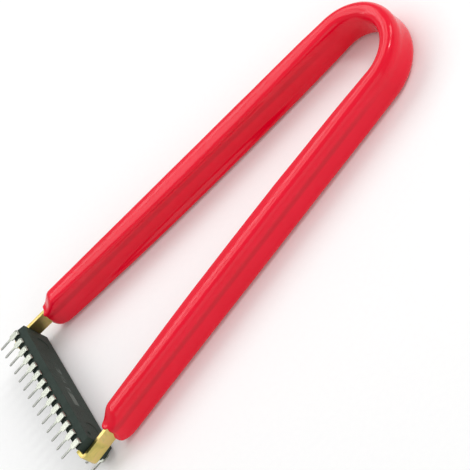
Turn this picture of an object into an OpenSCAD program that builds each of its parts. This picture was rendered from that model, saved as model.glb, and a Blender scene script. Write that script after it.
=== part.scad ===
// Chip extractor: one sprung strip bent into a U, red dipped coat, two hooked
// jaws, and the dual-in-line package it holds by the ends.
// Millimetres. +X runs from the package to the bend, +Z is the strip's width.
// The tool lies on its side, resting on the lower row of legs at Z = 0.

/* [Spring strip] */
// Thickness of the sprung steel strip
strip_t = 0.8; // [0.5:0.05:1.2]
// Width of the strip in the bend and along the arms
strip_w = 4.6; // [3.6:0.1:8]
// Radius of the bend, to the middle of the strip
bend_r = 9.2; // [7:0.05:14]
// Distance from the middle of the package to the centre of the bend
arm_reach = 84.6; // [60:0.2:120]
// Height of the stiffening flanges at their tallest, above the strip
flange_h = 1.2; // [0.6:0.1:2]
// Length over which the flanges rise and fall
flange_span = 72; // [40:1:80]

/* [Jaws] */
// Width of the bare tongue at the end of each arm
tongue_w = 3.4; // [2:0.1:5]
// How far each lip reaches in under the package
lip_reach = 1.9; // [1:0.1:2.6]
// Clearance between the tongue and the end of the package
jaw_gap = 0.2; // [0.1:0.05:0.6]
// Clearance between the lip and the underside of the package
lip_gap = 0.15; // [0.1:0.05:0.5]
// Outside radius of the fold that turns the tongue into the lip
lip_fold_r = 1.1; // [0.9:0.1:1.6]

/* [Coat] */
// Thickness of the dipped coat over the steel
coat_t = 1.6; // [0.8:0.05:2.2]
// Bare tongue left between the coat and the middle of the package
bare_l = 4.2; // [3:0.1:10]
// Length of the narrowing end of the coat
coat_end_l = 3.6; // [2:0.1:8]
// Corner radius on the outside of the coat
coat_edge_r = 1.8; // [0.8:0.1:1.9]

/* [Package] */
// Legs on each side of the package
legs_per_side = 14; // [14:1:14]
// Spacing of the legs along a side
pitch = 2.54; // [2.2:0.01:3]
// Body left beyond the last leg
body_end = 0.825; // [0.6:0.005:1.4]
// Width of the body at the parting line
body_w = 7.1; // [6:0.05:7.2]
// Thickness of the body
body_t = 3.3; // [2.6:0.1:4.4]
// Slope of the moulded sides, degrees
body_draft = 7; // [3:1:10]

/* [Leads] */
// Distance between the two rows of legs
row_spacing = 8.0; // [7.6:0.02:8.6]
// Thickness of the lead frame
lead_t = 0.25; // [0.2:0.01:0.3]
// Width of a leg where it leaves the body
shoulder_w = 1.34; // [1:0.02:1.6]
// Width of the narrow part of a leg
leg_w = 0.46; // [0.36:0.02:0.6]
// How far the legs reach below the body
leg_l = 3.3; // [2.6:0.1:4.2]
// Height of the wide part of a leg below the body
stand_off = 0.45; // [0.3:0.05:0.9]

/* [Hidden] */
$fn = 96;
body_l = (legs_per_side - 1) * pitch + 2 * body_end;
half_l = body_l / 2;
jaw_y = half_l + jaw_gap + strip_t / 2;        // middle of the strip, at the package
splay = atan(jaw_y / arm_reach) - asin(bend_r / norm([arm_reach, jaw_y]));
skin = strip_t / 2 + coat_t;                   // middle of the strip to the coat's face
coat_w = strip_w + 2 * coat_t;
mid_z = max(coat_w, row_spacing + lead_t) / 2;
leg_tip = body_t / 2 + leg_l;
apex = arm_reach + bend_r + skin;
shift_x = (leg_tip - apex) / 2;                // centres the length on X = 0
turn_x = arm_reach + bend_r * sin(splay);      // where the bend meets an arm
turn_y = bend_r * cos(splay);
cut = 0.04;                                    // clearance at the spring's hinge line
lip_x = (turn_x + body_t / 2 + lip_gap - strip_t / 2 * sin(splay)) / cos(splay);
tip_x = lip_x + strip_t;
coat_x = (turn_x - bare_l) / cos(splay);       // end of the coat, along the arm
flange_x = coat_x / 2 - 1;                     // middle of the flanges
flange_arc = (pow(flange_span / 2, 2) + pow(flange_h, 2)) / (2 * flange_h);
fold_in = max(0.15, lip_fold_r - strip_t);
rim_w = 0.9;                                   // width of the coat's inner rims
rim_r = 0.6;                                   // their outside rounding
rim_run = 16;                                  // length over which they widen
inner_edge_r = min(1.6, 2 * skin - coat_edge_r - 0.1);
hollow = coat_w / 2 - rim_w;
hollow_r = (pow(hollow, 2) + pow(flange_h, 2)) / (2 * flange_h);
top_w = body_w - body_t * tan(body_draft);     // body narrowed to its top face
top_l = body_l - body_t * tan(body_draft);
pin_x = body_t / 2;                            // top face of the body
lead_bend_r = 0.45;
leg_z = row_spacing / 2;
root_l = 1.5;                                  // lead frame inside the body
pad_l = 9;
pad_w = 3.4;
pad_t = lead_t;
die_l = 5.2;
die_w = 2.6;
die_t = 0.4;
mark_y = 13;                                   // ejector marks from the middle
mark_r = 1.5;
red = [0.86, 0.08, 0.15];
gold = [0.78, 0.66, 0.34];
tin = [0.78, 0.79, 0.78];
epoxy = [0.17, 0.19, 0.18];

// ---- placing ----

module home() { translate([shift_x, 0, mid_z]) children(); }

// arm frame: +x from the bend to the tip, +y inwards, z across the strip
module arm(side) {
    home() mirror([0, side < 0 ? 1 : 0, 0])
        translate([turn_x, turn_y, 0]) rotate([0, 0, 180 - splay]) children();
}

module across(w) { translate([0, 0, -w / 2]) linear_extrude(height = w) children(); }

// a section drawn as [y, z], swept along +x for a length
module along(x0, x1) {
    translate([x0, 0, 0]) rotate([90, 0, 90]) linear_extrude(height = x1 - x0) children();
}

// an outline drawn as [x, z], swept through the strip's thickness
module through(t) { rotate([90, 0, 0]) translate([0, 0, -t / 2]) linear_extrude(height = t) children(); }

// ---- spring strip ----

module flange_outline(base) {
    intersection() {
        translate([flange_x, base + flange_h - flange_arc]) circle(r = flange_arc, $fn = 720);
        translate([cut, 0]) square([coat_x - coat_end_l - 2 * cut, base + flange_h + 1]);
    }
}

module fold_outline() {
    difference() {
        union() {
            translate([cut, -strip_t / 2]) square([tip_x - cut, strip_t]);
            translate([lip_x, -strip_t / 2]) square([strip_t, strip_t + lip_reach]);
            translate([lip_x - fold_in, strip_t / 2]) square([fold_in, fold_in]);
        }
        translate([lip_x - fold_in, strip_t / 2 + fold_in]) circle(r = fold_in);
        difference() {
            translate([tip_x - lip_fold_r, -strip_t / 2 - 1]) square([lip_fold_r + 1, lip_fold_r + 1]);
            translate([tip_x - lip_fold_r, lip_fold_r - strip_t / 2]) circle(r = lip_fold_r);
            translate([tip_x - lip_fold_r, lip_fold_r - strip_t / 2]) square([lip_fold_r, 1]);
        }
    }
}

module tongue_plan() {
    w = strip_w / 2;
    t = tongue_w / 2;
    x0 = coat_x - coat_end_l;
    polygon([[0, -w], [x0, -w], [x0 + w - t, -t], [tip_x + 1, -t],
        [tip_x + 1, t], [x0 + w - t, t], [x0, w], [0, w]]);
}

module strip_solid() {
    intersection() {
        across(strip_w) fold_outline();
        through(30) tongue_plan();
    }
    for (s = [-1, 1])
        intersection() {
            translate([0, 0, s * (strip_w - strip_t) / 2]) across(strip_t) flange_outline(strip_t / 2);
            through(30) tongue_plan();
        }
}

module spring_bend() {
    color(gold) home() translate([arm_reach, 0, 0]) rotate([0, 0, splay - 90])
        rotate_extrude(angle = 180 - 2 * splay) translate([bend_r - strip_t / 2, -strip_w / 2])
            square([strip_t, strip_w]);
}
module spring_left() { color(gold) arm(1) strip_solid(); }
module spring_right() { color(gold) arm(-1) strip_solid(); }

// ---- dipped coat ----

// section of the coat, [y, z], +y inwards
module coat_section() {
    r = coat_edge_r;
    k = inner_edge_r;
    h = coat_w / 2;
    union() {
        translate([-skin + r, -h]) square([2 * skin - r - k, coat_w]);
        translate([-skin, -h + r]) square([2 * skin, coat_w - 2 * r]);
        translate([0, -h + k]) square([skin, coat_w - 2 * k]);
        for (s = [-1, 1]) {
            translate([-skin + r, s * (h - r)]) circle(r = r);
            translate([skin - k, s * (h - k)]) circle(r = k);
        }
    }
}

// raised rims either side of the hollow, [y, z]
module rim_section() {
    difference() {
        union() {
            translate([0, -coat_w / 2]) square([skin + flange_h - rim_r, coat_w]);
            translate([0, rim_r - coat_w / 2]) square([skin + flange_h, coat_w - 2 * rim_r]);
            for (s = [-1, 1])
                translate([skin + flange_h - rim_r, s * (coat_w / 2 - rim_r)]) circle(r = rim_r);
        }
        translate([skin + hollow_r, 0]) circle(r = hollow_r, $fn = 180);
    }
}

// the rims widen from the middle of the coat over a run at each end, [x, z]
module rim_plan() {
    w = coat_w / 2;
    n = w - inner_edge_r;
    x0 = flange_x - flange_span / 2;
    x1 = min(flange_x + flange_span / 2, coat_x - coat_end_l);
    polygon([[x0, -n], [x0 + rim_run, -w], [x1 - rim_run, -w], [x1, -n],
        [x1, n], [x1 - rim_run, w], [x0 + rim_run, w], [x0, n]]);
}

module coat_plan() {
    w = coat_w / 2;
    e = tongue_w / 2 + coat_t / 2;
    x1 = coat_x;
    x0 = x1 - coat_end_l;
    polygon([[0, -w], [x0, -w], [x1 - 0.8, -e - 0.4], [x1, -e],
        [x1, e], [x1 - 0.8, e + 0.4], [x0, w], [0, w]]);
}

module coat_side() {
    e = coat_t / 2;
    x1 = coat_x;
    polygon([[0, -skin], [x1 - 2, -skin], [x1 - 0.6, -skin + e * 0.4], [x1, -skin + e], [x1, skin - e],
        [x1 - 0.6, skin - e * 0.4], [x1 - 2, skin], [x1 - 2, skin + flange_h], [0, skin + flange_h]]);
}

module coat_solid() {
    difference() {
        intersection() {
            union() {
                along(cut, coat_x) coat_section();
                intersection() {
                    across(coat_w) flange_outline(skin);
                    along(cut, coat_x) rim_section();
                    through(30) rim_plan();
                }
            }
            through(30) coat_plan();
            across(coat_w) coat_side();
        }
        strip_solid();
    }
}

module coat_bend() {
    color(red) home() translate([arm_reach, 0, 0]) rotate([0, 0, splay - 90])
        rotate_extrude(angle = 180 - 2 * splay) difference() {
            translate([bend_r, 0]) mirror([1, 0]) coat_section();
            translate([bend_r - strip_t / 2, -strip_w / 2]) square([strip_t, strip_w]);
        }
}
module coat_left() { color(red) arm(1) coat_solid(); }
module coat_right() { color(red) arm(-1) coat_solid(); }

// ---- package ----

// outline of the body with both halves drafted to the parting line
module draft_outline(wide, narrow) {
    t = body_t / 2;
    polygon([[-t, -narrow / 2], [0, -wide / 2], [t, -narrow / 2],
        [t, narrow / 2], [0, wide / 2], [-t, narrow / 2]]);
}

module body_block() {
    intersection() {
        across(body_w + 2) draft_outline(body_l, top_l);
        rotate([90, 0, 0]) translate([0, 0, -half_l - 1])
            linear_extrude(height = body_l + 2) draft_outline(body_w, top_w);
    }
}

module package() {
    color(epoxy) home() difference() {
        body_block();
        // polarity notch and the round ejector marks
        translate([pin_x - 1, -top_l / 2, 0]) rotate([0, 90, 0]) cylinder(r = 0.95, h = 2);
        for (s = [-1, 1])
            translate([pin_x - 0.12, s * mark_y, 0]) rotate([0, 90, 0]) cylinder(r = mark_r, h = 1);
        translate([pin_x - 0.2, -half_l + 1.9, body_w / 2 - 1.5]) rotate([0, 90, 0])
            cylinder(r = 0.45, h = 1);
        for (i = [0 : 2 * legs_per_side - 1]) lead_at(i);
        pad_block();
        die_block();
    }
}

module pad_block() { translate([-pad_t / 2, -pad_l / 2, -pad_w / 2]) cube([pad_t, pad_l, pad_w]); }
module die_block() { translate([pad_t / 2, -die_l / 2, -die_w / 2]) cube([die_t, die_l, die_w]); }
module die_pad() { color(tin) home() pad_block(); }
module die() { color([0.35, 0.36, 0.4]) home() die_block(); }

// ---- leads ----

// a lead in profile, [x, z] with z outwards: root, quarter bend, leg
module lead_outline() {
    r = lead_bend_r;
    h = lead_t / 2;
    z0 = body_w / 2 - root_l;
    translate([-h, z0]) square([lead_t, leg_z + h - r - z0]);
    translate([h - r, leg_z + h - r]) intersection() {
        difference() {
            circle(r = r);
            circle(r = r - lead_t);
        }
        square([r, r]);
    }
    translate([-leg_tip, leg_z - h]) square([leg_tip + h - r, lead_t]);
}

// the same lead seen square on, [x, y]: wide shoulder, narrow leg, blunt point
module lead_plan() {
    s = shoulder_w / 2;
    n = leg_w / 2;
    x0 = -body_t / 2 - stand_off;
    polygon([[1, -s], [1, s], [x0 + 0.25, s], [x0, n], [-leg_tip + 0.35, n], [-leg_tip, n / 2],
        [-leg_tip, -n / 2], [-leg_tip + 0.35, -n], [x0, -n], [x0 + 0.25, -s]]);
}

module lead_solid() {
    intersection() {
        rotate([90, 0, 0]) translate([0, 0, -2]) linear_extrude(height = 4) lead_outline();
        linear_extrude(height = 10) lead_plan();
    }
}

// legs 1 to n run down the near side, n + 1 to 2 n back up the far side
module lead_at(i) {
    n = legs_per_side;
    near = i < n;
    k = near ? i : 2 * n - 1 - i;
    translate([0, (k - (n - 1) / 2) * pitch, 0]) mirror([0, 0, near ? 0 : 1]) lead_solid();
}

module lead(k) { color(tin) home() lead_at(k - 1); }

spring_bend();
spring_left();
spring_right();
coat_bend();
coat_left();
coat_right();
package();
die_pad();
die();
lead(1);  // lead_01
lead(2);  // lead_02
lead(3);  // lead_03
lead(4);  // lead_04
lead(5);  // lead_05
lead(6);  // lead_06
lead(7);  // lead_07
lead(8);  // lead_08
lead(9);  // lead_09
lead(10);  // lead_10
lead(11);  // lead_11
lead(12);  // lead_12
lead(13);  // lead_13
lead(14);  // lead_14
lead(15);  // lead_15
lead(16);  // lead_16
lead(17);  // lead_17
lead(18);  // lead_18
lead(19);  // lead_19
lead(20);  // lead_20
lead(21);  // lead_21
lead(22);  // lead_22
lead(23);  // lead_23
lead(24);  // lead_24
lead(25);  // lead_25
lead(26);  // lead_26
lead(27);  // lead_27
lead(28);  // lead_28
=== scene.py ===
# %% [markdown]
# # A chip extractor and the package it grips
#
# The tool is one sprung strip bent into a U and dipped in red vinyl, with two bare
# tongues that hook under the ends of a chip package. The CAD frame gives the sizes
# and the joints; this lesson gives the frame its looks, one piece at a time.

import math

import bpy
import bmesh
from mathutils import Matrix, Vector


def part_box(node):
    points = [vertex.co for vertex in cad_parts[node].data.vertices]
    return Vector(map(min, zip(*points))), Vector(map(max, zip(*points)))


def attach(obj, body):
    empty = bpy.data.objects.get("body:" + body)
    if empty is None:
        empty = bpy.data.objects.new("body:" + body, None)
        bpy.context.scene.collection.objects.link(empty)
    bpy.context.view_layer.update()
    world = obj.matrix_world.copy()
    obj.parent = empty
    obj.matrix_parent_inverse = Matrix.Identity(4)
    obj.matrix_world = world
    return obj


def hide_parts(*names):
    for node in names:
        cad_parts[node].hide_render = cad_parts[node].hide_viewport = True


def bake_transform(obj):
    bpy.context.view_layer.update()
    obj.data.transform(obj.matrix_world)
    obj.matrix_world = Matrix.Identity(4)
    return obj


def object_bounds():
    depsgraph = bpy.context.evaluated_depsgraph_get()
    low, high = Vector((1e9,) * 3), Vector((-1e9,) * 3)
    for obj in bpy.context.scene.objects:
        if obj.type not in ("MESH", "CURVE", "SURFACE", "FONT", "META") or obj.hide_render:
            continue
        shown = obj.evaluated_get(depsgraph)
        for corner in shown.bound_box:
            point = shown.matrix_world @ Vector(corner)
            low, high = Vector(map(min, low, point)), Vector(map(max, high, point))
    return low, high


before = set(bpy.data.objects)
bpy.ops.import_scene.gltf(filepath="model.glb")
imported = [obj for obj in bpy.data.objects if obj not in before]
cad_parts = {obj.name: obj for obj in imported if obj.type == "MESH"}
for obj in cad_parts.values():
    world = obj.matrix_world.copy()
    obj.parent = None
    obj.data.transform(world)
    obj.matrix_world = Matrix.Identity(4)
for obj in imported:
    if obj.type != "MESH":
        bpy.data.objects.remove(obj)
cad_box = [list(v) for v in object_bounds()]

# %% [markdown]
# ## The tool's sizes
#
# All the sizes are in millimetres and are turned into metres only where a mesh is
# made. Whatever the frame can tell is read from the boxes of its nodes. The sizes that
# a box cannot tell, inside the strip and the coat, are written here a second time and
# have to agree with the CAD source. The splay of the arms is not a free size: it
# follows from the bend, the reach and where the jaws have to be.

# %% Sizes
MM = 0.001
MERGE = 2e-6            # metres: points nearer than this become one


def box_mm(node):
    """A node's lowest and highest corners, in millimetres."""
    return [Vector(corner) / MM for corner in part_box(node)]


bend_r = 9.2            # bend, to the middle of the strip
skin = 2.0              # middle of the strip to the coat's face
flange_h = 1.2          # how far the rims stand up at the middle of an arm
jaw_gap = 0.2
half_strip = 0.4
bare = 4.2              # bare tongue between the coat and the package's middle
package_low, package_high = box_mm("package")
bend_low, bend_high = box_mm("coat_bend")
shift_x = (package_low.x + package_high.x) / 2
mid_z = (bend_low.z + bend_high.z) / 2
coat_half_w = (bend_high.z - bend_low.z) / 2
reach = bend_high.x - shift_x - bend_r - skin
jaw_y = package_high.y + jaw_gap + half_strip
splay = math.atan2(jaw_y, reach) - math.asin(bend_r / math.hypot(reach, jaw_y))
turn = Vector((reach + shift_x + bend_r * math.sin(splay), bend_r * math.cos(splay), mid_z))
quarter = bend_r * (math.pi / 2 - splay)
arm_l = (reach + bend_r * math.sin(splay) - bare) / math.cos(splay)
print(f"splay {math.degrees(splay):.2f} deg, reach {reach:.1f} mm, middle at z {mid_z:.3f} mm")
print(f"coat {quarter + arm_l:.1f} mm from the middle of the bend to its end")

# %% [markdown]
# ## Node trees as expressions
#
# A node tree is easier to read as a formula. `Wire` wraps one output socket and turns
# `a * b + 1` into Math nodes, and `Net.make` adds any other node from its type, its
# settings and its inputs. The same classes draw materials and Geometry Nodes, which
# is why they are made once here and not as two sets of wiring code.

# %% Wire and Net
class Wire:
    """One output socket that can be used in a formula."""

    def __init__(self, net, socket):
        self.net, self.socket = net, socket

    def math(self, operation, *others):
        values = dict(enumerate((self, *others)))
        return self.net.make("ShaderNodeMath", {"operation": operation}, values)[0]

    def __add__(self, b): return self.math("ADD", b)
    def __radd__(self, b): return self.math("ADD", b)
    def __sub__(self, b): return self.math("SUBTRACT", b)
    def __rsub__(self, b): return self.net.number(b).math("SUBTRACT", self)
    def __mul__(self, b): return self.math("MULTIPLY", b)
    def __rmul__(self, b): return self.math("MULTIPLY", b)
    def __truediv__(self, b): return self.math("DIVIDE", b)
    def __pow__(self, b): return self.math("POWER", b)
    def __neg__(self): return self.math("MULTIPLY", -1.0)
    def sin(self): return self.math("SINE")
    def cos(self): return self.math("COSINE")
    def abs(self): return self.math("ABSOLUTE")
    def sign(self): return self.math("SIGN")
    def root(self): return self.math("SQRT")
    def least(self, b): return self.math("MINIMUM", b)
    def most(self, b): return self.math("MAXIMUM", b)
    def clip(self): return self.math("MAXIMUM", 0.0).math("MINIMUM", 1.0)

    def step(self, a, b):
        """0 below a, 1 above b, and a smooth ramp between them."""
        t = ((self - a) / (b - a)).clip()
        return t * t * (3.0 - 2.0 * t)


class Made:
    """A node that was just made; its outputs are read by name or number."""

    def __init__(self, net, node):
        self.net, self.node = net, node

    def __getitem__(self, key):
        return Wire(self.net, self.node.outputs[key])


class Net:
    """A node tree that is drawn by formulas."""

    def __init__(self, tree):
        self.tree = tree

    def number(self, value):
        """A plain number as a wire, for the left side of a subtraction."""
        return self.make("ShaderNodeMath", {"operation": "ADD"}, {0: float(value), 1: 0.0})[0]

    def make(self, kind, settings=None, values=None):
        """Adds a node: its settings first, then the values or links of its sockets."""
        node = self.tree.nodes.new(kind)
        for key, value in (settings or {}).items():
            if key == "stops":
                ramp = node.color_ramp
                while len(ramp.elements) < len(value):
                    ramp.elements.new(0.5)
                for element, (place, colour) in zip(ramp.elements, value):
                    element.position, element.color = place, (*colour[:3], 1.0)
            else:
                setattr(node, key, value)
        for key, value in (values or {}).items():
            socket = node.inputs[key]
            if isinstance(value, Wire):
                self.tree.links.new(value.socket, socket)
            else:
                socket.default_value = value
        return Made(self, node)

    def blend(self, share, a, b):
        """Mixes two colours; share is a number or a wire."""
        a, b = [(*c, 1.0) if isinstance(c, tuple) else c for c in (a, b)]
        return self.make("ShaderNodeMix", {"data_type": "RGBA"}, {0: share, 6: a, 7: b})[2]


print("formula helpers ready")

# %% [markdown]
# ## A material starter
#
# Each finish below is a Principled shader whose base colour, roughness and bump vary
# over the surface. Patterns read Object coordinates in metres, so a scale of 1000
# gives one feature a millimetre. A painted texture could hold the same detail, but a
# formula needs no file and is sharp at any distance. Numbers that are the same
# everywhere are set straight on the shader.

# %% Finish
class Finish(Net):
    """A Principled material whose patterns are formulas."""

    def __init__(self, name, **fixed):
        self.material = bpy.data.materials.new(name)
        self.material.use_nodes = True
        super().__init__(self.material.node_tree)
        self.shader = self.tree.nodes["Principled BSDF"]
        for key, value in fixed.items():
            self.shader.inputs[key.replace("_", " ")].default_value = value
        self.place = self.make("ShaderNodeTexCoord")["Object"]

    def scaled(self, x, y, z):
        """Object coordinates stretched by a scale on each axis, in features a metre."""
        return self.make("ShaderNodeMapping", {"vector_type": "POINT"},
                         {"Vector": self.place, "Scale": (x, y, z)})[0]

    def noise(self, scale, detail=3.0, rough=0.5, where=None, distortion=0.0):
        """A cloudy pattern from 0 to 1, in features a metre."""
        made = self.make("ShaderNodeTexNoise", {"noise_dimensions": "3D"},
                         {"Vector": where or self.place, "Scale": scale, "Detail": detail,
                          "Roughness": rough, "Distortion": distortion})
        return made["Fac"]

    def parts(self):
        """The x, y and z of Object coordinates, one wire each."""
        made = self.make("ShaderNodeSeparateXYZ", None, {0: self.place})
        return made[0], made[1], made[2]

    def paint(self, colour, roughness=None):
        """Links what varies over the surface to the shader."""
        self.tree.links.new(colour.socket, self.shader.inputs["Base Color"])
        if roughness is not None:
            self.tree.links.new(roughness.socket, self.shader.inputs["Roughness"])

    def relief(self, *layers):
        """Bump from (height wire, depth in metres) layers, one node each."""
        last = None
        for height, depth in layers:
            values = {"Height": height, "Distance": depth, "Strength": 1.0}
            if last is not None:
                values["Normal"] = last
            last = self.make("ShaderNodeBump", None, values)[0]
        self.tree.links.new(last.socket, self.shader.inputs["Normal"])


print("finish helper ready")

# %% [markdown]
# ## Red dipped vinyl
#
# The strip is dipped in liquid vinyl and cured, which leaves a glossy, slightly
# uneven skin: a slow waviness that bends reflections, a faint orange peel, and
# fingerprints that dull the gloss a little. A deeper red streak along the arms is a
# painted dark reflection. On the real coat it is a reflection and not a colour, but no
# light here makes it, so it is painted in softly. Each of those is one noise or a few
# ramps, so each can be tuned alone. A trace of light passes into the vinyl, which the
# subsurface setting gives.

# %% Vinyl
vinyl = Finish("dipped_vinyl", IOR=1.45, Specular_IOR_Level=0.34, Coat_Weight=0.04,
               Coat_Roughness=0.03, Subsurface_Weight=0.05, Subsurface_Scale=0.001)
vinyl.shader.inputs["Subsurface Radius"].default_value = (1.0, 0.25, 0.2)
cloud = vinyl.noise(90.0, 3.0)
speck = vinyl.noise(2600.0, 2.0)
smear = vinyl.noise(240.0, 5.0, 0.6, distortion=0.6).step(0.45, 0.75)
red = vinyl.blend(cloud, (0.74, 0.0005, 0.016), (0.86, 0.001, 0.030))
red = vinyl.blend(speck.step(0.66, 0.78) * 0.35, red, (0.62, 0.001, 0.012))
vinyl_x, _, vinyl_z = vinyl.parts()
# painted dark reflection: a deeper red band a little above the middle height of the arms,
# fading out at the bend
above = vinyl_z - mid_z * MM
fades_at_bend = 1.0 - vinyl_x.step(0.028, 0.042)
run = above.step(0.0001, 0.0009) * (1.0 - above.step(0.0013, 0.0022)) * fades_at_bend
red = vinyl.blend(run * 0.45, red, (0.44, 0.0005, 0.010))
vinyl.paint(colour=red, roughness=0.13 + smear * 0.09 + speck * 0.03)
vinyl.relief((vinyl.noise(120.0, 1.0), 0.00008), (vinyl.noise(1500.0, 2.0), 0.0000035))
print("made", vinyl.material.name)

# %% [markdown]
# ## Yellow passivated steel
#
# The bare tongues are zinc plated and dipped in a yellow passivate, which leaves a
# thin film with drifting straw, olive and rose tints over a bright metal. Fine draw
# marks run along the strip: they are the same noise, stretched much more across the
# strip than along it.

# %% Passivate
straw = Finish("yellow_passivate", Metallic=1.0, IOR=2.5)
drift = straw.noise(260.0, 3.0, distortion=1.2)
tint = straw.make("ShaderNodeValToRGB", {"stops": [
    (0.30, (0.50, 0.44, 0.13)), (0.46, (0.66, 0.53, 0.17)),
    (0.58, (0.70, 0.52, 0.21)), (0.72, (0.54, 0.50, 0.15))]}, {0: drift})["Color"]
drawn = straw.noise(1.0, 3.0, where=straw.scaled(300.0, 6000.0, 9000.0))
stain = straw.noise(900.0, 4.0).step(0.55, 0.75)
straw.paint(colour=straw.blend(stain * 0.25, tint, (0.50, 0.42, 0.20)),
            roughness=0.27 + drawn * 0.08 + stain * 0.10)
straw.relief((drawn, 0.0000022), (straw.noise(500.0, 2.0), 0.00001))
print("made", straw.material.name)

# %% [markdown]
# ## Moulded epoxy
#
# The body is epoxy filled with silica, moulded in a spark-eroded tool: a dark grey
# with a green cast and an even sandy grain. The grain is both paint and bump, so that
# it catches the light and still shows in shade. A printed mark would sit on the top
# face. Here it is two rectangles with no lettering, worn away by a noise. The noise
# leaves the second one in flecks that can be mistaken for letters from some sides; a
# finer noise, or one rectangle alone, would avoid that.

# %% Epoxy
epoxy = Finish("moulded_epoxy", IOR=1.5, Specular_IOR_Level=0.22)
epoxy_x, epoxy_y, epoxy_z = epoxy.parts()
grain = epoxy.noise(5200.0, 3.0, 0.7)
mottle = epoxy.noise(420.0, 4.0)
dark = epoxy.blend(mottle, (0.016, 0.027, 0.021), (0.040, 0.058, 0.048))
dark = epoxy.blend(grain.step(0.60, 0.80) * 0.5, dark, (0.085, 0.105, 0.092))
top_x = package_high.x * MM
on_top = epoxy_x.step(top_x - 0.00004, top_x - 0.00001)
rub = epoxy.noise(420.0, 5.0, 0.6).step(0.40, 0.66)


def patch(y0, y1, z0, z1):
    """1 inside a soft-edged rectangle on the top face, in millimetres from its middle."""
    soft = 0.00004

    def between(along, low, high):
        return along.step(low - soft, low) * (1.0 - along.step(high, high + soft))

    return (between(epoxy_y, y0 * MM, y1 * MM)
            * between(epoxy_z, (mid_z + z0) * MM, (mid_z + z1) * MM))


ink = patch(-6.4, -1.0, -0.2, 1.1).most(patch(0.6, 5.4, -0.6, 0.5)) * on_top * (1.0 - rub)
epoxy.paint(colour=epoxy.blend(ink * 0.32, dark, (0.30, 0.36, 0.32)),
            roughness=0.56 + grain * 0.24 - ink * 0.05)
epoxy.relief((grain, 0.00006), (epoxy.noise(1400.0, 4.0), 0.00006))
print("made", epoxy.material.name)

# %% [markdown]
# ## Tinned legs, silicon and the pad
#
# The legs are stamped from a thin nickel-iron sheet and dipped in tin, so they are
# satin, a little cloudy, and dull where the tin pooled. The thin lower part of each leg
# is painted darker, as painted shade. The pad and the die are sealed
# inside the body and show only when it is hidden, but they get true finishes too.

# %% Tin, lead frame and silicon
tin = Finish("tin_plate", Metallic=1.0)
pool = tin.noise(1400.0, 4.0, distortion=0.8)
bright = tin.blend(pool, (0.34, 0.36, 0.31), (0.60, 0.62, 0.54))
# painted shade: the thin lower part of each leg is painted darker than the shoulders, and made
# a little rougher
shaded_lower_leg = 1.0 - tin.parts()[0].step((shift_x - 3.6) * MM, (shift_x - 1.7) * MM)
tin.paint(colour=tin.blend(shaded_lower_leg * 0.75, bright, (0.30, 0.30, 0.29)),
          roughness=0.20 + pool * 0.25 + shaded_lower_leg * 0.08)
tin.relief((pool, 0.000012), (tin.noise(9000.0, 2.0), 0.0000012))

pad_metal = Finish("lead_frame_metal", Metallic=1.0)
rolled = pad_metal.noise(1.0, 3.0, where=pad_metal.scaled(5000.0, 400.0, 9000.0))
pad_metal.paint(colour=pad_metal.blend(rolled, (0.50, 0.49, 0.46), (0.66, 0.64, 0.60)),
                roughness=0.3 + rolled * 0.15)
pad_metal.relief((rolled, 0.000002))

silicon = Finish("polished_silicon", Metallic=0.6)
cells = silicon.make("ShaderNodeTexVoronoi", {"feature": "F1", "distance": "CHEBYCHEV"},
                     {"Vector": silicon.place, "Scale": 2400.0})["Distance"]
silicon.paint(colour=silicon.blend(cells, (0.10, 0.11, 0.16), (0.24, 0.22, 0.30)),
              roughness=0.12 + cells * 0.2)
silicon.relief((cells, 0.000002))
print("made", tin.material.name, pad_metal.material.name, silicon.material.name)

# %% [markdown]
# ## The coat as a rule
#
# The coat follows one path: round the bend, then straight down an arm. Each ring of
# it is a soft-cornered rectangle whose inner corners grow into two rims where the
# strip has its flanges, and which draws in at the end round the tongue. That is a
# formula, so a Geometry Nodes tree bends a flat grid into it: one side of the grid
# runs along the path and the other round the ring. Each half is its own piece,
# because each arm moves on its own; the halves meet in the middle of the bend, where
# the rings are packed closely so that no seam shows in the gloss.

# %% The coat's inputs
FULL_TURN = 2 * math.pi
INPUTS = [
    ("Rings", "NodeSocketInt", 380),
    ("Ring points", "NodeSocketInt", 96),
    ("Bend radius", "NodeSocketFloat", bend_r),
    ("Bend angle", "NodeSocketFloat", math.pi / 2 - splay),
    ("Bend length", "NodeSocketFloat", quarter),
    ("Bend centre", "NodeSocketFloat", reach + shift_x),
    ("Middle height", "NodeSocketFloat", mid_z),
    ("Arm length", "NodeSocketFloat", arm_l),
    ("Half thickness", "NodeSocketFloat", skin),
    ("Half width", "NodeSocketFloat", coat_half_w),
    ("Rim height", "NodeSocketFloat", flange_h),
    ("Side", "NodeSocketFloat", 1.0),
    ("End slant", "NodeSocketFloat", 0.3),
    ("Seed", "NodeSocketFloat", 0.0),
    ("Vinyl", "NodeSocketMaterial", None)]
print("the coat has", len(INPUTS), "inputs")

# %% [markdown]
# ## Along the coat
#
# The first and last rings repeat a place and shrink to a point, which closes the ends
# without a separate cap. The rings are packed closely at both ends of a half: in the
# middle of the bend, where the halves meet, and round the tongue.

# %% Along the coat
PACKING = 0.82          # 0 spaces the rings evenly, 1 stacks them at both ends


def along_coat(given, grid_x):
    """Each ring's distance from the middle of the bend and from the end, and if it is open."""
    count = given["Rings"] - 1.0
    ring = (grid_x + 0.5) * count
    u = ((ring - 1.0) / (count - 2.0)).clip()
    share = u - (u * FULL_TURN).sin() * (PACKING / FULL_TURN)
    length = given["Bend length"] + given["Arm length"]
    s = share * length
    return s, length - s, ring.clip() * (count - ring).clip()


print("rings packed by", PACKING)

# %% [markdown]
# ## Round the ring
#
# A circle whose sine and cosine are raised to a power under 1 swells into a rectangle
# with soft corners, rounder in the bend than on the arms. A bevelled box could be
# made instead, but one formula lets every ring differ a little from the last. The
# end's ring shrinks towards the tongue and the rims grow on the inner side.

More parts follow.
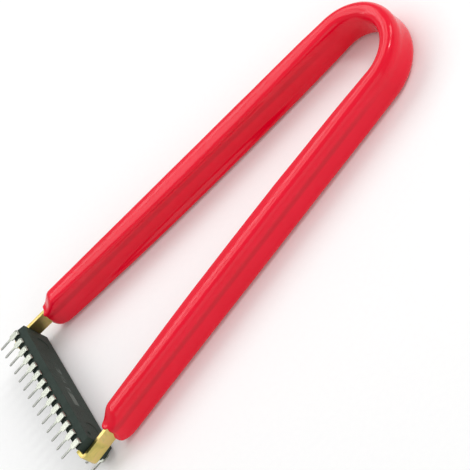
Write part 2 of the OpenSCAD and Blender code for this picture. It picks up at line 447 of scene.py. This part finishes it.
# %% Round the ring
tongue_w, tongue_t = 2.1, 1.05      # half width and half thickness at the very end
rim_low = 0.16                      # the rims' share of their height at an arm's ends
dip_depth = 0.30                    # how far the outer face sinks, in millimetres


def quarter_round(t):
    """Rises from 0 to 1 as the side of a quarter circle does."""
    t = t.clip()
    return (1.0 - (1.0 - t) * (1.0 - t)).root()


def ring_size(given, d, to_end):
    """A ring's half width and half thickness, which shrink round the tongue."""
    draw = quarter_round(to_end / 4.2)
    blunt = quarter_round(to_end / 2.7)
    near = to_end.step(0.7, 4.5) * 0.9 + draw * 0.1
    across = near + (blunt - near) * (1.0 - d.step(-0.2, 0.2))
    lip = (1.0 - (1.0 - (to_end / 0.45).clip()) ** 2.0).root()
    half_w = (tongue_w + (given["Half width"] - tongue_w) * across) * (0.86 + 0.14 * lip)
    half_t = (tongue_t + (given["Half thickness"] - tongue_t) * draw) * (0.62 + 0.38 * lip)
    return half_w, half_t


def ring_outline(given, c, d, s, to_end):
    """A point's distance out from the path and up, and its direction from the middle."""
    power = (1.0 - s.step(6.0, 22.0)) * 0.12 + 0.62
    round_n = c.sign() * c.abs() ** power
    round_z = d.sign() * d.abs() ** power
    half_w, half_t = ring_size(given, d, to_end)
    # rims on the inner side, tallest at the middle of the arm, and a hollow between
    on_arm = ((s - given["Bend length"]) / given["Arm length"]).clip()
    swell = (on_arm * math.pi).sin().most(0.0) ** 0.9 * (1.0 - rim_low) + rim_low
    inner = (-c).step(0.0, 0.55)
    rim = d.abs().step(0.22, 0.88) * given["Rim height"] * swell
    hollow = (1.0 - d.abs().step(0.1, 0.8)) * 0.15 * swell
    # the outer face sinks a little between its edges, as vinyl shrinks when it cures
    floor_of_dip = (1.0 - round_z.step(0.10, 0.62)) * (1.0 - (-round_z).step(0.1, 0.96))
    sunk = c.step(0.0, 0.5) * floor_of_dip * dip_depth * (to_end / 6.0).clip()
    return round_n * half_t - inner * (rim - hollow) - sunk, round_z * half_w, round_n, round_z


print("rings shrink to", 2 * tongue_w, "by", 2 * tongue_t, "mm at the tongue")

# %% [markdown]
# ## The whole tree
#
# A hand-dipped coat is never quite even, so a slow noise moves its skin and two waves
# make its end ragged. Both come from a fixed seed. The noise fades out where the
# halves meet, so that they share one ring exactly. Last, the grid is laid on the path:
# an arc for the bend, then straight on.

# %% The coat's tree
def unevenness(net, given, c, d, s):
    """A slow wander of the skin, from about -0.5 to 0.5."""
    place = net.make("ShaderNodeCombineXYZ", None, {
        0: s * 0.09, 1: c * 0.8 + given["Seed"], 2: d * 0.8})
    return net.make("ShaderNodeTexNoise", {"noise_dimensions": "3D"},
                    {"Vector": place[0], "Scale": 1.0, "Detail": 2.0})["Fac"] - 0.5


def raggedness(given, theta, d, to_end, open_ring):
    """How far a point near the end is drawn back, in millimetres."""
    waves = ((theta * 2.0 + given["Seed"] * 3.0).sin() * 0.28
             + (theta * 5.0 + given["Seed"]).sin() * 0.14 + d * given["End slant"])
    return (waves + 0.2) * (1.0 - (to_end / 5.0).clip()) * open_ring


def on_path(net, given, s, n, z_out):
    """The place of a point that is s along the path, n out from it and z_out up."""
    turned = (s / given["Bend radius"]).least(given["Bend angle"])
    straight = (s - given["Bend length"]).most(0.0)
    cos_t, sin_t = turned.cos(), turned.sin()
    radius = given["Bend radius"] + n
    px = radius * cos_t - sin_t * straight + given["Bend centre"]
    py = (radius * sin_t + cos_t * straight) * given["Side"]
    return net.make("ShaderNodeCombineXYZ", None, {
        0: px * MM, 1: py * MM, 2: (z_out + given["Middle height"]) * MM})[0]


def coat_tree():
    """A tree that lays a flat grid round the path as one half of the coat."""
    tree = bpy.data.node_groups.new("dipped_coat", "GeometryNodeTree")
    for name, kind, value in INPUTS:
        socket = tree.interface.new_socket(name=name, in_out="INPUT", socket_type=kind)
        if value is not None:
            socket.default_value = value
    tree.interface.new_socket(name="Geometry", in_out="OUTPUT",
                              socket_type="NodeSocketGeometry")
    net = Net(tree)
    given = net.make("NodeGroupInput")
    grid = net.make("GeometryNodeMeshGrid", None, {
        "Size X": 1.0, "Size Y": 1.0,
        "Vertices X": given["Rings"], "Vertices Y": given["Ring points"]})
    at = net.make("ShaderNodeSeparateXYZ", None, {
        0: net.make("GeometryNodeInputPosition")[0]})
    s, to_end, open_ring = along_coat(given, at[0])
    theta = (at[1] + 0.5) * FULL_TURN
    c, d = theta.cos(), theta.sin()
    n, z_out, round_n, round_z = ring_outline(given, c, d, s, to_end)
    wander = unevenness(net, given, c, d, s)
    off_seam = s.step(0.0, 6.0)
    n = (n + round_n * wander * 0.16 * off_seam) * open_ring
    z_out = (z_out + round_z * wander * 0.10 * off_seam) * open_ring
    s = s - raggedness(given, theta, d, to_end, open_ring)
    last = net.make("GeometryNodeSetPosition", None, {
        "Geometry": grid["Mesh"], "Position": on_path(net, given, s, n, z_out)})
    for kind, values in (("GeometryNodeMergeByDistance", {"Distance": MERGE}),
                         ("GeometryNodeSetShadeSmooth", {"Shade Smooth": True}),
                         ("GeometryNodeRealizeInstances", {}),
                         ("GeometryNodeSetMaterial", {"Material": given["Vinyl"]})):
        last = net.make(kind, None, {"Geometry": last[0], **values})
    net.make("NodeGroupOutput", None, {"Geometry": last[0]})
    return tree


dipped_coat = coat_tree()
print("coat tree has", len(dipped_coat.nodes), "nodes")

# %% [markdown]
# ## Two halves of the coat
#
# The tree is put on an empty object, its inputs are set by identifier, and the
# evaluated result is kept as a plain mesh. The left half is the right half's mirror,
# so the faces are turned to point outwards. Where the two ends close, the edge is
# marked sharp, so that the flat cap does not shade the round skin beside it. A mirror
# modifier would be shorter, but the two dipped ends are not alike.

# %% Grow the halves
def put(name, data):
    """Adds an object to the scene and returns it."""
    thing = bpy.data.objects.new(name, data)
    bpy.context.scene.collection.objects.link(thing)
    return thing


def rework(mesh, merge, sliver, then=None):
    """Merges a mesh's doubles, removes its slivers and runs one more step on it."""
    work = bmesh.new()
    work.from_mesh(mesh)
    bmesh.ops.remove_doubles(work, verts=work.verts, dist=merge)
    bmesh.ops.dissolve_degenerate(work, dist=sliver, edges=work.edges)
    if then:
        then(work)
    work.to_mesh(mesh)
    work.free()


def face_outwards(work):
    bmesh.ops.recalc_face_normals(work, faces=work.faces)
    if work.calc_volume(signed=True) < 0:
        bmesh.ops.reverse_faces(work, faces=work.faces)


def as_made(piece):
    """A plain mesh of what the piece's modifiers make."""
    return bpy.data.meshes.new_from_object(
        piece.evaluated_get(bpy.context.evaluated_depsgraph_get()))


def grow(name, tree, settings):
    """Runs a Geometry Nodes tree and returns its result as a plain mesh object."""
    holder = put("holder", bpy.data.meshes.new("holder"))
    modifier = holder.modifiers.new("rule", "NODES")
    modifier.node_group = tree
    for item in tree.interface.items_tree:
        if item.in_out == "INPUT" and item.name in settings:
            modifier[item.identifier] = settings[item.name]
    mesh = as_made(holder)
    bpy.data.objects.remove(holder)
    mesh.name = name
    rework(mesh, MERGE, 1e-8, face_outwards)
    return put(name, mesh)


# each half's name, side, seed, millimetres short of the arm's end, and slant
HALVES = [("coat_skin_left", 1.0, 0.0, 1.2, 0.6), ("coat_skin_right", -1.0, 2.3, 0.2, 0.2)]
halves = {}
for name, side, seed, short, slant in HALVES:
    half = grow(name, dipped_coat, {"Side": side, "Seed": seed, "Arm length": arm_l - short,
                                    "End slant": slant, "Vinyl": vinyl.material})
    half.data.set_sharp_from_angle(angle=math.radians(55))
    halves[side] = half
    size = half.dimensions / MM
    print(name, len(half.data.polygons), "faces,", [round(v, 1) for v in size], "mm")

# %% [markdown]
# ## The coat halves in place
#
# Each half's place is baked into its mesh, and the CAD coat nodes are hidden, so the
# halves stand in for them. The real strip spreads its flex over the bend, but neither
# half is attached to an arm here, so the coat does not bend with the strip.

# %% Bake the halves
for side, body in ((1.0, "left_arm"), (-1.0, "right_arm")):
    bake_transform(halves[side])
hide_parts("coat_left", "coat_bend")
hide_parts("coat_right")

# %% [markdown]
# ## Softened edges
#
# Stamped metal and moulded epoxy never have a true knife edge, and the thin line of
# light along an edge is what makes a small part look real. A CAD node's mesh is
# never edited, so each of these nodes gets a copy: its loose triangles are merged,
# flat faces are joined, and a small bevel rounds what is left. The slivers that the
# bevel leaves are merged away, and weighted normals keep the flat faces flat in shade.

# %% Soften
SLIVER = 1e-6           # metres: edges shorter than this are dissolved
EDGE_ANGLE = 32.0       # degrees: only sharper edges are rounded


def join_flats(work):
    bmesh.ops.dissolve_limit(work, angle_limit=math.radians(1.0), verts=work.verts,
                             edges=work.edges, delimit={"NORMAL"})


def settle(piece):
    """Keeps what the modifiers make as the piece's own mesh."""
    kept = as_made(piece)
    piece.modifiers.clear()
    piece.data = kept
    kept.name = piece.name


def soften(node, name, body, material, width, turns=2):
    """A copy of a CAD node with rounded edges, which stands for it on its body."""
    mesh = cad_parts[node].data.copy()
    mesh.name = name
    rework(mesh, MERGE, SLIVER, join_flats)
    for key in ("custom_normal", "sharp_face"):
        if key in mesh.attributes:
            mesh.attributes.remove(mesh.attributes[key])
    for face in mesh.polygons:
        face.use_smooth = True
    piece = put(name, mesh)
    bevel = piece.modifiers.new("edge", "BEVEL")
    bevel.width, bevel.segments = width * MM, turns
    bevel.limit_method, bevel.angle_limit = "ANGLE", math.radians(EDGE_ANGLE)
    bevel.use_clamp_overlap = True
    settle(piece)
    rework(piece.data, 1.5e-6, SLIVER)
    even = piece.modifiers.new("even", "WEIGHTED_NORMAL")
    even.weight, even.keep_sharp = 100, True
    settle(piece)
    piece.data.materials.clear()
    piece.data.materials.append(material)
    for face in piece.data.polygons:
        face.material_index = 0
    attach(piece, body)
    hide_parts(node)
    return piece


strip_edge, body_edge, leg_edge = 0.09, 0.10, 0.035     # millimetres
for part, body in (("bend", "bend"), ("left", "left_arm"), ("right", "right_arm")):
    piece = soften(f"spring_{part}", f"strip_{part}", body, straw.material,
                   strip_edge, 3)
    print(piece.name, len(piece.data.polygons), "faces")

# %% [markdown]
# ## The package and its legs
#
# The body gets a wider softening than the legs. The two rows of legs are stamped
# alike, so one loop does them all. The pad and the die are sealed inside, so they keep
# their CAD meshes and only change material.

# %% Package and legs
LEG_COUNT = 28
body_piece = soften("package", "package_body", "bend", epoxy.material, body_edge)
print(body_piece.name, len(body_piece.data.polygons), "faces")
legs = [soften(f"lead_{k:02d}", f"leg_{k:02d}", "bend", tin.material, leg_edge)
        for k in range(1, LEG_COUNT + 1)]
print(len(legs), "legs,", sum(len(p.data.polygons) for p in legs), "faces")
for node, finish in (("die_pad", pad_metal), ("die", silicon)):
    for slot_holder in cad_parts[node].material_slots:
        slot_holder.material = finish.material

# %% [markdown]
# ## Floor
#
# The tool lies on its side on a pale paper sweep, so the floor is one wide grid with a
# faint fibre. It sits a hair under the part, or the two would flicker where they
# touch. It is not part of the object.

# %% Floor
FLOOR_HALF = 3.0        # metres
FLOOR_GAP = 0.00002     # metres


def floor_plane(z, half):
    work = bmesh.new()
    bmesh.ops.create_grid(work, x_segments=1, y_segments=1, size=half)
    mesh = bpy.data.meshes.new("floor")
    work.to_mesh(mesh)
    work.free()
    plane = put("floor", mesh)
    plane.location = (0, 0, z)
    paper = Finish("pale_floor", Roughness=0.75)
    fibre = paper.noise(900.0, 3.0)
    paper.paint(colour=paper.blend(fibre, (0.93, 0.93, 0.93), (0.96, 0.96, 0.955)))
    plane.data.materials.append(paper.material)
    return plane


floor = floor_plane(cad_box[0][2] - FLOOR_GAP, FLOOR_HALF)
print("floor at", round(floor.location.z, 5))

# %% [markdown]
# ## Light
#
# Gloss shows the shape of its lights, so a glossy coat wants large soft boxes and not
# bare bulbs. A wide one overhead and a thin strip beside it draw the long highlights
# on the edges. Two small ones pick out the bend, a broad low one fills the near faces,
# and a pale world fills the shadows.

# %% Light
WORLD_STRENGTH = 0.55
LAMPS = [               # name, place and aim in metres, width and height, watts
    ("overhead", (-0.10, 0.30, 0.55), (0, 0, 0), (0.70, 0.24), 1.15),
    ("strip", (-0.16, 0.42, 0.42), (0, 0, 0), (0.75, 0.07), 0.55),
    ("window", (0.42, -0.05, 0.40), (0.03, 0, 0), (0.07, 0.10), 0.50),
    ("fill", (-0.10, -0.75, 0.32), (0, 0, 0), (0.90, 0.60), 1.45),
    ("rim", (0.52, 0.10, 0.29), (0.04, 0, 0), (0.16, 0.20), 0.55)]


def softbox(name, place, aim, size, power):
    lamp = bpy.data.lights.new(name, "AREA")
    lamp.shape, lamp.size, lamp.size_y = "RECTANGLE", size[0], size[1]
    lamp.energy = power
    holder = put(name, lamp)
    holder.location = place
    holder.rotation_euler = (Vector(aim) - Vector(place)).to_track_quat("-Z", "Y").to_euler()


for lamp in LAMPS:
    softbox(*lamp)
world = bpy.data.worlds.new("studio")
world.use_nodes = True
background = world.node_tree.nodes["Background"].inputs
background["Color"].default_value = (1.0, 1.0, 1.0, 1.0)
background["Strength"].default_value = WORLD_STRENGTH
bpy.context.scene.world = world
print(len(LAMPS), "soft lights and a pale world")

# %% [markdown]
# ## Camera
#
# A long lens, well back from a small tool, keeps perspective gentle. The camera's place
# and its three directions were fitted once, outside this script, so they are written
# out as they were found: which way is right, up and back.

# %% Camera
SENSOR = 36.0           # millimetres
FOCAL = 2000 / 470      # focal length over the view's width
CAMERA_PLACE = (0.073838, -0.268345, 0.254345)
CAMERA_RIGHT = (0.65487, -0.41928, -0.62877)
CAMERA_UP = (0.72952, 0.56799, 0.38104)
CAMERA_BACK = (0.19737, -0.70823, 0.67783)
lens = bpy.data.cameras.new("camera")
lens.lens, lens.sensor_width = FOCAL * SENSOR, SENSOR
lens.clip_start, lens.clip_end = 0.01, 20.0
camera = put("camera", lens)
turned = Matrix((CAMERA_RIGHT, CAMERA_UP, CAMERA_BACK)).transposed().to_4x4()
camera.matrix_world = Matrix.Translation(CAMERA_PLACE) @ turned
bpy.context.scene.camera = camera
bpy.context.scene.view_settings.view_transform = "Standard"
print(f"camera set, {lens.lens:.1f} mm lens")

# %% [markdown]
# ## Sizes
#
# Looks must not change a part's size. The CAD box is printed here.

# %% Sizes and finish
print("cad", [[round(v / MM, 2) for v in p] for p in cad_box])
